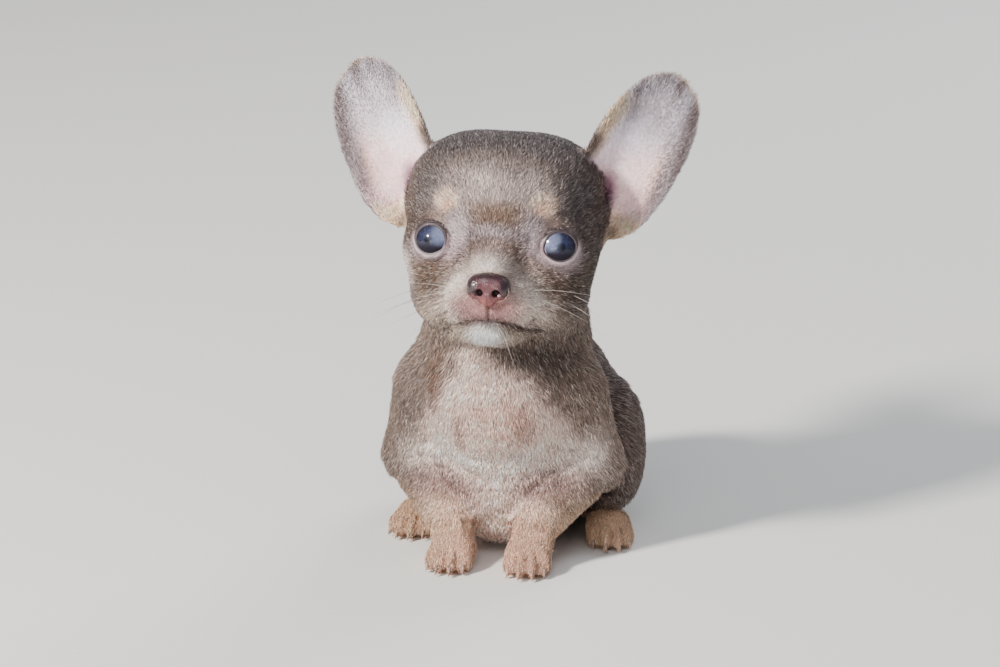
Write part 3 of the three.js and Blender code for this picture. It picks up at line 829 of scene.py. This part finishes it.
def growTufts(name, slot, roots):  # roots is a dictionary of arrays, one row a tuft
    p, n, t = roots["point"], roots["normal"], roots["flow"]
    length, width, sway, lift = (roots[key][:, None] for key in ("length", "width", "sway", "lift"))
    lift = np.radians(lift)
    low = lift * tuft["droop"]
    across = unit(np.cross(t, n))
    middle = p + length * tuft["bend"] * (t * np.cos(lift) + n * np.sin(lift))
    tip = middle + length * (1 - tuft["bend"]) * (t * np.cos(low) + n * np.sin(low)) + across * sway
    start = p - n * coat["sunk"]
    ring = [middle + across * width / 2, middle - across * width / 2, middle + n * width * 0.4]
    points = np.stack([start, *ring, tip], 1)
    points[:, :, 2] = np.maximum(points[:, :, 2], coat["floor"])
    faces = (tuft["faces"] + np.arange(len(p))[:, None, None] * 5).reshape(-1, 3)
    piece = meshPiece(name, points.reshape(-1, 3), faces)
    # painted shade: each tuft darker at its root, where the hairs shade each other, and lighter towards its
    # tip; less so in pale hair
    shade = tuft["rootShadeToTip"][None, :, None]
    shade = shade + 0.5 * ease(0.15, 0.6, roots["tint"].mean(1))[:, None, None] * (1 - shade)
    colourPoints(piece, np.clip(roots["tint"][:, None] * shade, 0, 1).reshape(-1, 3))
    spread = (roots["uv"][:, None] + coat["patch"] * tuft["corners"]).reshape(-1, 2)
    stored(piece.data.uv_layers.new(name="OFBake").data, "uv", spread[faces.ravel()])
    return placed(piece, slot)


def coatParts(owner, p, atHead):  # which tufts each piece takes
    named = owner.astype(str)
    onHead, torso = np.isin(owner, ["head", "jaw"]), owner == "torso"
    muzzle = (atHead[:, 1] < -14) & (atHead[:, 2] < -9)
    face, left = atHead[:, 1] < -12, p[:, 0] > 0
    crown = onHead & ~muzzle & ~face
    chest = (p[:, 1] < -24) & (p[:, 2] > 24) & (p[:, 2] < 78) & ~onHead & ~np.char.startswith(named, "ear")
    legs = np.char.startswith(named, "foreleg") | np.char.startswith(named, "thigh")
    return {
        "coat_muzzle": ("pale_coat", onHead & muzzle),
        "coat_face": ("coat", onHead & ~muzzle & face),
        "coat_crown_left": ("coat", crown & (atHead[:, 0] > 0)),
        "coat_crown_right": ("coat", crown & (atHead[:, 0] <= 0)),
        "coat_ear_left": ("ear", owner == "ear_left"),
        "coat_ear_right": ("ear", owner == "ear_right"),
        "coat_chest": ("pale_coat", chest & ~legs),
        "coat_paws": ("pale_coat", np.char.find(named, "paw") > 0),
        "coat_legs_left": ("coat", legs & left),
        "coat_legs_right": ("coat", legs & ~left),
        "coat_neck": ("coat", (owner == "neck") & ~chest),
        "coat_tail": ("coat", owner == "tail"),
        "coat_back": ("coat", torso & ~chest & (p[:, 2] > 30)),
        "coat_belly": ("coat", torso & ~chest & (p[:, 2] <= 30)),
    }


def makeCoat():
    triangles = fetched(skin.data.loops, "vertex_index", 1, np.int32).reshape(-1, 3)
    corners = unwrap(skin)
    plan = coatPlan(body)
    face, weights = scatter(body.points, triangles, plan[:, 3], coat["tufts"])
    at = triangles[face]

    def blended(values):
        return (values[at] * weights[..., None]).sum(1)

    n = unit(blended(body.normals))
    p = blended(body.points)
    flow = unit(blended(coatFlow))
    count = len(p)
    swirl = 0.16 * ripple(p, 9, 8) + 0.14 * ripple(p, 2.4, 10) + 0.15 * random.normal(size=count)
    flow = flow * np.cos(swirl)[:, None] + np.cross(n, flow) * np.sin(swirl)[:, None]
    flow = unit(laidFlat(flow, n))
    laid = blended(plan)
    length = laid[:, 0] * random.uniform(0.75, 1.2, count)
    light = np.exp(0.3 * random.normal(size=count) + 0.08 * ripple(p, 2.2, 9) - 0.02)
    tint = blended(skinTint)
    pepper = random.random(count)[:, None]
    paleness = ease(0.15, 0.6, tint.mean(1, keepdims=True))
    atHead = head.local(p)
    grizzled = spot(atHead, (0, -30, -24.5), (11, 8, 5)) + spot(abs(atHead), (10.4, 25, 2.2), (5, 6, 6))
    grizzled = np.clip(grizzled, 0, 1)[:, None]
    dulled = tint * (0.58 + 0.3 * paleness * (1 - grizzled))
    tint = np.where(pepper > 0.86 - 0.16 * grizzled, dulled, tint)
    tint = np.where(pepper < 0.2, tint + 0.3 * (coat["grey"] - tint), tint)
    roots = {
        "point": p, "normal": n, "flow": flow, "length": length,
        "width": laid[:, 1] * random.uniform(0.8, 1.2, count),
        "lift": laid[:, 2] * random.uniform(0.7, 1.3, count),
        "sway": 0.12 * length * random.normal(size=count),
        "tint": tint * light[:, None], "uv": (corners[face] * weights[..., None]).sum(1),
    }
    made = []
    for name, (slot, mask) in coatParts(body.node[at[:, 0]], p, atHead).items():
        print("  ", name, int(mask.sum()), "tufts")
        made.append(growTufts(name, slot, {key: value[mask] for key, value in roots.items()}))
    return made


def coatSurface():
    return {"Base_Color": attribute("tint")}


def skinSurface():
    tint = attribute("tint")
    streak = grain(900, 3.0)
    mottled = mixed(1.0, tint, streak.between(0.3, 0.7, 0.6, 1.25), "MULTIPLY")
    return {"Base_Color": mixed(0.35, tint, mottled), "Normal": bumped(streak, 0.3, 0.0004)}


skin.data.materials.append(material("skinUnderCoat", skinSurface, Roughness=0.62))
placed(skin, "coat", flesh)
coatMaterial = material("shortCoat", coatSurface, Roughness=0.66, Specular_IOR_Level=0.25, Sheen_Weight=0.08)
for piece in makeCoat():
    piece.data.materials.append(coatMaterial)
print("coat is laid")


# Eyes

def xyzOf(vector):
    return [Shade(s) for s in Shade.node("ShaderNodeSeparateXYZ", Vector=vector).outputs]


def eyeSurface():
    place = attribute("inEye", "Vector")
    x, _, z = xyzOf(place)
    radius = (x * x + z * z) ** 0.5
    low = ((z + 0.25) * (z + 0.25) + x * x) ** 0.5
    ring = Shade.node("ShaderNodeCombineXYZ", X=x / radius * 2.6, Y=z / radius * 2.6, Z=radius * 0.35)
    streaks = grain(3.0, 3.0, Shade(ring.outputs[0]))
    cloud = grain(0.5, 2.0, place)
    white = mixed(cloud.between(0.3, 0.7, 0.2, 0.8), plainTone(172, 160, 178), plainTone(128, 112, 134))
    iris = mixed(radius.between(1.2, 3.8), plainTone(40, 45, 72), plainTone(24, 24, 44))
    hazeAndSkyReflection = x.between(-3.8, 0.9, 0.62, 0.0) * z.between(-2.6, 0.6)  # milky towards the nose as at this age, with a painted reflection of the sky there
    iris = glazed(
        iris,
        (streaks.between(0.4, 0.8, 0, 0.4), (76, 84, 120)),
        (z.between(-3.2, 1.0, 0.9, 0.0), (24, 14, 24)),
        (radius.between(3.4, 4.3, 0.0, 0.85), (20, 16, 30)),
        (low.between(0.9, 1.9, 0.95, 0.0), (8, 9, 18)),
        (hazeAndSkyReflection * cloud.between(0.25, 0.7, 0.6, 1.0), (150, 160, 200)),
    )
    wet = z.between(-3.0, 0.4, 0.06, 0.9)  # the lower half looks at the dark fur below it
    return {"Base_Color": mixed(radius.between(4.4, 4.7), iris, white), "Coat_Weight": wet}


def makeEye(label):
    deselect()
    bpy.ops.mesh.primitive_uv_sphere_add(segments=96, ring_count=72, radius=eye["radius"] * mm)
    globe = bpy.context.object
    globe.name = globe.data.name = "eyeball_" + label
    turn = {"value": math.radians(90), "orient_axis": "X", "center_override": (0, 0, 0)}
    editAll(globe, lambda: bpy.ops.transform.rotate(**turn))
    q = pointsOf(globe)
    front = -q[:, 1]
    cornea = np.sqrt(np.maximum(eye["cornea"] ** 2 - q[:, 0] ** 2 - q[:, 2] ** 2, 0)) + eye["corneaAhead"]
    q[:, 1] = -np.where(front > 0, np.maximum(front, cornea), front)
    globe.data.shade_smooth()
    vectorPoints(globe, "inEye", q * (sides[label], 1, 1))
    movePoints(globe, eyes[label].world(q))
    return placed(globe, "eye", ["eye_" + label])


eyeGloss = material("eyeGloss", eyeSurface, Roughness=0.4, Specular_IOR_Level=0.12, Coat_Roughness=0.05)
for label in sides:
    makeEye(label).data.materials.append(eyeGloss)


# Lids: a ring round each eye, from its wet rim out over the ball and under the skin

lid = {"open": 36, "corner": 3.8, "around": 180, "rings": 48, "hairs": 4600}
lidProfile = [
    (-7, 6.9), (-1.5, 7.36), (-0.4, 7.55), (0.4, 7.68), (1.6, 7.79), (4, 7.86), (8, 7.87),
    (12, 7.79), (16, 7.62), (20, 7.4), (25, 7.05), (31, 6.5),
]
lidHide = {name: tone(*screen) for name, screen in {
    "rim": (36, 24, 27), "low": (186, 164, 170), "high": (146, 130, 129), "duct": (122, 86, 88),
}.items()}


def lidEdge(turn):  # degrees from the gaze at which the lids part
    corner = np.exp(-(((turn + 0.35) / 0.4) ** 2))  # drawn out towards the nose
    outer = np.exp(-(((abs(turn) - math.pi) / 0.5) ** 2))
    return lid["open"] + lid["corner"] * corner + 2.0 * outer - 1.2 * np.cos(2 * turn - math.pi)


def lidPoints(label, turn, out):
    steps, heights = np.array(lidProfile).T
    angle = np.radians(lidEdge(turn) + out)
    far = np.interp(out, steps, heights)
    wrinkles = 0.07 * np.sin(9 * turn + 0.6 * out) + 0.03 * np.sin(31 * turn - 0.8 * out)
    far = far + wrinkles * ease(2.5, 7, out)
    across = -sides[label] * np.sin(angle) * np.cos(turn) * far
    return eyes[label].world(np.stack([across, -np.cos(angle) * far, np.sin(angle) * np.sin(turn) * far], -1))


def lidColours(label, turn, out, points):
    upper = ease(-0.25, 0.75, np.sin(turn))
    colour = towards(lidHide["low"], lidHide["high"], upper)
    duct = np.exp(-(((turn + 0.2) / 0.45) ** 2)) * ease(9, 4, out)
    colour = towards(colour, lidHide["duct"], 0.8 * duct)
    # the dark lid rim, wider along the upper lid: its lashes, with painted shade under the lid's overhang
    rim = ease(2.4, 0.6, out - 7.4 * upper - 0.8 * np.sin(3 * turn) * upper)
    colour = towards(colour, lidHide["rim"], 0.96 * rim)
    colour = colour * (1 + 0.1 * ripple(points, 1.3, 21) + 0.08 * ripple(points, 0.5, 22))[:, None]
    # painted shadow in the upper lid's crease
    creaseShadow = upper * np.exp(-(((out - 13 + 1.5 * np.sin(turn)) / 1.7) ** 2))
    colour = towards(colour, lidHide["rim"], 0.5 * creaseShadow)
    angle, far, _ = eyeAngles(label, body.points)
    near = (far < 12) & (angle > 52)
    tree = treeOf(body.points[near])
    around = skinTint[near][[tree.find(q)[1] for q in points]]
    return towards(colour, around, ease(6, 18, out) * (1 - 0.4 * creaseShadow))


def makeLids(label):
    turn = (np.arange(lid["around"]) / lid["around"] * 2 - 1) * math.pi
    steps = np.array(lidProfile)[:, 0]
    out = np.interp(np.linspace(0, len(steps) - 1, lid["rings"]), np.arange(len(steps)), steps)
    turns, outs = np.tile(turn, len(out)), np.repeat(out, len(turn))
    points = lidPoints(label, turns, outs)
    faces = ringFaces(len(out), lid["around"])
    piece = meshPiece("lids_" + label, points, faces if label == "right" else faces[:, ::-1])
    colourPoints(piece, lidColours(label, turns, outs, points))
    return placed(piece, "coat")


def growLidHair(label):
    count = lid["hairs"]
    turn = random.uniform(-math.pi, math.pi, count)
    upper = ease(-0.25, 0.75, np.sin(turn))
    start = 4.6 + 0.6 * upper
    out = start + (27 - start) * random.random(count) ** 0.8
    point = lidPoints(label, turn, out)
    outward = unit(lidPoints(label, turn, out + 0.5) - point)
    normal = unit(point - eyes[label].centre)
    outward = unit(laidFlat(outward, normal))
    swirl = 0.35 * random.normal(size=count)[:, None]
    length = random.uniform(0.6, 1.1, count)
    tint = lidColours(label, turn, out, point) * np.exp(0.2 * random.normal(size=count))[:, None]
    ring = 0.5 + 0.012 * (out + 8)[:, None] * np.stack([np.cos(turn), np.sin(turn)], 1)
    return growTufts("coat_lids_" + label, "coat", {
        "point": point, "normal": normal, "flow": unit(outward + swirl * np.cross(normal, outward)),
        "length": length, "width": random.uniform(0.07, 0.11, count), "lift": random.uniform(10, 26, count),
        "sway": 0.1 * length * random.normal(size=count), "tint": tint, "uv": ring,
    })


def lidSurface():
    tint = attribute("tint")
    fine = grain(2600, 3.0)
    colour = glazed(tint, (fine.between(0.35, 0.7, 0.0, 0.25), (120, 96, 104)))
    return {"Base_Color": colour, "Normal": bumped(fine, 0.25, 0.00012)}


lidSkin = material("lidSkin", lidSurface, Roughness=0.42, Coat_Weight=0.15)
for label in sides:
    makeLids(label).data.materials.append(lidSkin)
    growLidHair(label).data.materials.append(coatMaterial)
print("eyes and lids are in")


# Nose pad: a soft field of a few rounded masses, shrunk onto from inside

def ball(centre, radii):
    centre, radii = np.array(centre), np.array(radii)

    def field(p):
        q = (p - centre) / radii
        near = np.linalg.norm(q, axis=-1)
        return near * (near - 1) / np.maximum(np.linalg.norm(q / radii, axis=-1), 1e-6)

    return field


def rod(start, end, radius):
    def field(p):
        return toSegment(p, start, end) - radius

    return field


def blend(soft, *fields):
    def field(p):
        low = fields[0](p)
        for other in fields[1:]:
            value = other(p)
            mix = np.maximum(soft - abs(low - value), 0) / soft
            low = np.minimum(low, value) - mix * mix * soft / 4
        return low

    return field


def scooped(field, gone, soft):
    def left(p):
        a, b = field(p), -gone(p)
        mix = np.maximum(soft - abs(a - b), 0) / soft
        return np.maximum(a, b) + mix * mix * soft / 4

    return left


nose = {
    "forward": 31.2, "drop": 19.2, "nostril": 2.4, "nostrilDrop": 1.7, "hole": 1.05,
    "density": 7, "rounds": 60,
}


def noseField():
    f, d, hole, low = (nose[key] for key in ("forward", "drop", "hole", "nostrilDrop"))
    tip = -f - 4.1
    both = (1, -1)
    masses = [ball((0, -f, -d + 1.1), (5.7, 4.1, 3.5))]
    masses += [ball((s * 3.5, -f - 0.1, -d - 0.2), (2.9, 3.9, 3.3)) for s in both]
    masses += [ball((0, -f + 0.2, -d - 2.9), (2.5, 3.5, 2.9))]
    holes = [ball((s * nose["nostril"], tip + 0.5, -d - low), (hole, 2.4, hole)) for s in both]
    holes += [rod((s * 3.1, tip, -d - 2.1), (s * 5.2, tip + 2.0, -d - 2.4), 0.42) for s in both]
    holes += [rod((0, tip + 0.2, -d - 2.2), (0, tip + 1.1, -d - 6.4), 0.36)]
    return scooped(blend(1.6, *masses), blend(0.45, *holes), 0.45)


def noseSurface():
    place = attribute("inHead", "Vector")
    x, _, z = xyzOf(place)
    z = z + nose["drop"]
    side = Shade.math("ABSOLUTE", x)
    wide = grain(0.35, 3.0, place)
    dark = Shade.math("MAXIMUM", side.between(2.0, 4.8), z.between(0.6, 3.4))
    reach = ((side - nose["nostril"]) ** 2.0 + (z + nose["nostrilDrop"]) ** 2.0) ** 0.5
    kind = {"feature": "SMOOTH_F1"}
    cells = Shade.node("ShaderNodeTexVoronoi", kind, Vector=place, Scale=2.3, Smoothness=0.4)
    pebble = Shade(cells.outputs["Distance"])
    colour = glazed(
        mixed(z.between(-4.4, -2.0), plainTone(140, 68, 66), plainTone(94, 42, 50)),
        (dark * z.between(-3.0, -1.0) * wide.between(0.2, 0.6, 0.7, 1.0), (42, 24, 31)),
        # painted shade inside the nostrils and down the groove below them
        (reach.between(0.75, 1.35, 0.95, 0.0), (34, 12, 14)),
        (side.between(0.12, 0.42, 0.75, 0.0) * z.between(-1.8, -2.6), (70, 30, 32)),
        (pebble.between(0.3, 0.75, 0.0, 0.35), (40, 22, 28)),
    )
    shine = wide.between(0.3, 0.7, 0.24, 0.42)
    return {"Base_Color": colour, "Roughness": shine, "Normal": bumped(1 - pebble, 0.55, 0.00025)}


def makeNose():
    deselect()
    bpy.ops.mesh.primitive_ico_sphere_add(subdivisions=nose["density"], radius=mm)
    pad = bpy.context.object
    pad.name = pad.data.name = "nose_pad"
    field = noseField()
    away = unit(pointsOf(pad) + np.array([0, -0.55, 0]))
    core = np.array([0, -nose["forward"] + 1.2, -nose["drop"] - 0.4])
    reach = np.zeros(len(away))
    for _ in range(nose["rounds"]):
        reach = np.maximum(reach - field(core + away * reach[:, None]) * 0.55, 0)
    q = core + away * reach[:, None]
    vectorPoints(pad, "inHead", q)
    movePoints(pad, head.world(q))
    pad.data.shade_smooth()
    pad.data.materials.append(material("noseLeather", noseSurface, Coat_Weight=0.5, Coat_Roughness=0.15))
    return placed(pad, "nose_leather", ["nose"])


makeNose()
print("nose is on")


# Whiskers: long stiff hairs on the muzzle, cheeks, chin and over the eyes

whiskers = {"sides": 5, "rings": 9, "thick": 0.06, "pale": tone(214, 204, 196), "dark": tone(70, 56, 52)}


def whiskerRoots():  # place and bend in the head's frame, and length
    for s in (1, -1):
        for row in range(4):
            for column in range(4):
                place = (s * (7.6 + 1.75 * column), -27.5 + 1.3 * column, -19.6 - 2.1 * row)
                yield place, (s * 1.0, 0.15 - 0.12 * row, -0.25 - 0.12 * row), 9 + 3.2 * column - 0.8 * row
        for k in range(3):
            yield (s * (13.4 + 1.2 * k), -25.5, 6.5 - 0.5 * k), (s * 0.5, -0.4, 0.9), 7 + 1.2 * k
            yield (s * (2.2 + 2.4 * k), -25, -34 + 0.5 * k), (s * 0.35, -0.5, -0.8), 6 + k
        for k in range(2):
            yield (s * (22 + k), -14, -20 - 3 * k), (s * 1.0, 0.3, -0.5), 11 + 3 * k


def makeWhiskers():
    tree = treeOf(body.inHead)
    points, faces, colours = [], [], []
    around, rings = whiskers["sides"], whiskers["rings"]
    turn = np.arange(around) / around * 2 * math.pi
    circle = np.stack([np.cos(turn), np.sin(turn)])[:, None, :, None]
    caps = np.stack([np.arange(around)[::-1], (rings - 1) * around + np.arange(around)])
    for place, bend, length in whiskerRoots():
        k = tree.find(Vector(place) + Vector(random.normal(size=3) * 0.35))[1]
        start, normal = body.inHead[k], body.normals[k] @ head.turn
        way = unit(normal * 0.8 + np.array(bend) + 0.22 * random.normal(size=3))
        droop = unit(np.array([bend[0] * 0.6, 0.7, -0.7])) * random.uniform(0.1, 0.6)
        t = np.linspace(0, 1, rings)[:, None]
        length = length * random.uniform(0.6, 1.3)
        path = start - normal * 0.5 + length * (way * t + droop * t * t)
        along = unit(np.gradient(path, axis=0))
        one = unit(np.cross(along, (0.3, 0.1, 1.0)))
        two = np.cross(along, one)
        thick = whiskers["thick"] * (1 - 0.85 * t)
        ring = path[:, None] + thick[:, None] * (one[:, None] * circle[0] + two[:, None] * circle[1])
        base = len(points) * rings * around
        points.append(head.world(ring.reshape(-1, 3)))
        faces += [ringFaces(rings, around) + base, caps + base]
        shade = whiskers["dark"] if random.random() < 0.5 else whiskers["pale"]
        colours.append(np.repeat(shade[None], rings * around, 0))
    piece = meshPiece("whiskers", np.concatenate(points), *faces)
    colourPoints(piece, np.concatenate(colours))
    editAll(piece, lambda: bpy.ops.mesh.normals_make_consistent(inside=False))
    return placed(piece)


makeWhiskers().data.materials.append(material("whiskerHair", coatSurface, Roughness=0.35))
print("whiskers are set")


# Claws: curved horn cones over the toe tips

claw = {"length": 2.7, "radius": 0.66, "tip": 0.12, "sides": 12, "rings": 10, "drop": 30, "curl": 0.9}


def clawShape():  # along -Y from its root, bent down
    deselect()
    bpy.ops.mesh.primitive_cone_add(
        vertices=claw["sides"], depth=claw["length"] * mm,
        radius1=claw["radius"] * mm, radius2=claw["tip"] * mm,
        location=(0, -claw["length"] / 2 * mm, 0), rotation=(math.radians(90), 0, 0),
    )
    cone = bpy.context.object
    bpy.ops.object.transform_apply(location=True, rotation=True, scale=False)
    for k in range(1, claw["rings"]):
        cut = (0, -claw["length"] * k / claw["rings"] * mm, 0)
        editAll(cone, lambda: bpy.ops.mesh.bisect(plane_co=cut, plane_no=(0, 1, 0)))
    q = pointsOf(cone)
    share = -q[:, 1] / claw["length"]
    full = 1 + 0.55 * np.sin(math.pi * np.clip(share, 0, 1)) * share
    q[:, 0] *= 0.8 * full
    q[:, 2] = q[:, 2] * full - claw["curl"] * share ** 2
    movePoints(cone, q)
    return cone


def makeClaws():
    model = clawShape()
    pieces = []
    for paw in paws:
        for across, ahead in toes:
            twin = linked(model.copy())
            twin.data = model.data.copy()
            root = Place((across * 1.06, -ahead - 3.3, 2.9), turned("X", claw["drop"]) @ turned("Z", across))
            points = paw.world(root.world(pointsOf(twin)))
            points[:, 2] = np.maximum(points[:, 2], 0.1)
            movePoints(twin, points)
            pieces.append(twin)
    bpy.data.objects.remove(model)
    nails = activate(*pieces)
    bpy.ops.object.join()
    nails.name = nails.data.name = "claws"
    bpy.ops.object.transform_apply(location=True, rotation=True, scale=True)
    nails.data.shade_smooth()
    return placed(nails)


def hornSurface():
    ridges = grain(1400, 3.0)
    colour = mixed(ridges.between(0.3, 0.7), plainTone(120, 96, 88), plainTone(178, 150, 136))
    return {"Base_Color": colour, "Normal": bumped(ridges, 0.2, 0.0001)}


makeClaws().data.materials.append(material("hornClaw", hornSurface, Roughness=0.34))
print("claws are set")


# Floor and light

lamps = {
    "sun": {"place": (-0.93, -0.93, 0.92), "size": 0.2, "power": 48, "colour": (1.0, 0.96, 0.9)},
    "sky": {"place": (0.12, -0.85, 1.2), "size": 0.85, "power": 4.4, "colour": (0.9, 0.95, 1.0)},
    "front": {"place": (-0.35, -1.35, 0.12), "size": 0.45, "power": 3.2, "colour": (1.0, 0.97, 0.94)},
    "catch": {"place": (-0.06, -1.25, 0.27), "size": 0.07, "power": 0.9, "colour": (1.0, 0.98, 0.95)},
    "rim": {"place": (0.5, 0.9, 0.8), "size": 0.6, "power": 9, "colour": (0.95, 0.97, 1.0)},
}


def makeStage():
    deselect()
    bpy.ops.mesh.primitive_plane_add(size=8)
    floor = bpy.context.object
    floor.name = "floor"
    paper = material("floorPaper", lambda: {}, Base_Color=(0.8, 0.79, 0.77, 1), Roughness=0.9)
    floor.data.materials.append(paper)
    for name, lamp in lamps.items():
        light = linked(bpy.data.objects.new(name, bpy.data.lights.new(name, "AREA")))
        light.data.size = lamp["size"]
        light.data.energy = lamp["power"]
        light.data.color = lamp["colour"]
        light.location = lamp["place"]
        light.rotation_euler = (Vector((0, 0, 0.08)) - light.location).to_track_quat("-Z", "Y").to_euler()
    world = bpy.data.worlds.new("studio")
    world.use_nodes = True
    glow = world.node_tree.nodes["Background"]
    glow.inputs["Color"].default_value = (0.9, 0.93, 1.0, 1)
    glow.inputs["Strength"].default_value = 0.28
    bpy.context.scene.world = world


makeStage()
print("stage is lit")
